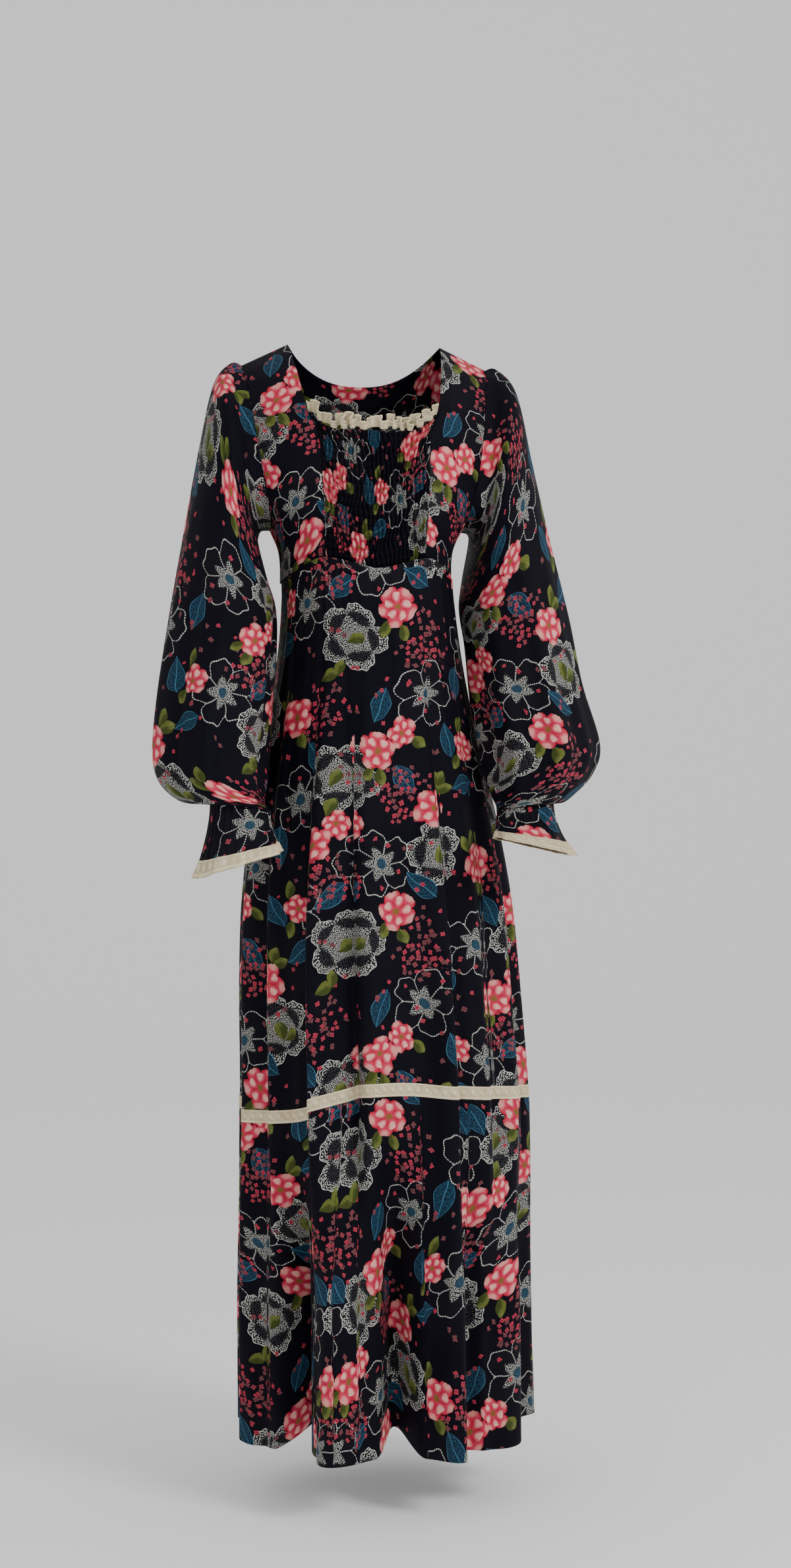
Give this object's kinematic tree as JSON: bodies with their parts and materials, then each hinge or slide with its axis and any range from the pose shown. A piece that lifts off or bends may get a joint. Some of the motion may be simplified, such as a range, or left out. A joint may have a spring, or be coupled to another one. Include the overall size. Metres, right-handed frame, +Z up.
{
  "type": "peasant dress",
  "caption": "Floor-length empire-line dress with a square neck, a shirred front panel, full bishop sleeves with lace-edged frills, and a gathered flounce below a lace band.",
  "frame": {"origin": "midway between the shoulder seams' neck ends, where the wearer's shoulders hold the dress up", "axes": "+Z up, the front of the dress faces -Y, and the wearer's left hand is on the +X side"},
  "size_m": [0.5494, 0.405, 1.3724],
  "materials": {
    "printed_cloth": "fine matt voile, near-black navy with a floral print in pink, cream, blue and olive",
    "shirred_cloth": "the same voile, gathered on rows of elastic thread",
    "lace": "cream cotton lace, matt"
  },
  "bodies": {
    "root": {"side_front_left": "printed_cloth", "side_front_right": "printed_cloth", "back_bodice": "printed_cloth", "shirred_panel": "shirred_cloth", "neck_frill": "lace", "sleeve_front_left": "printed_cloth", "sleeve_back_left": "printed_cloth", "sleeve_front_right": "printed_cloth", "sleeve_back_right": "printed_cloth", "cuff_frill_left": "printed_cloth", "cuff_frill_right": "printed_cloth", "cuff_lace_left": "lace", "cuff_lace_right": "lace", "skirt_front": "printed_cloth", "skirt_back": "printed_cloth", "lace_band": "lace", "flounce_front": "printed_cloth", "flounce_back": "printed_cloth"}
  },
  "joints": []
}
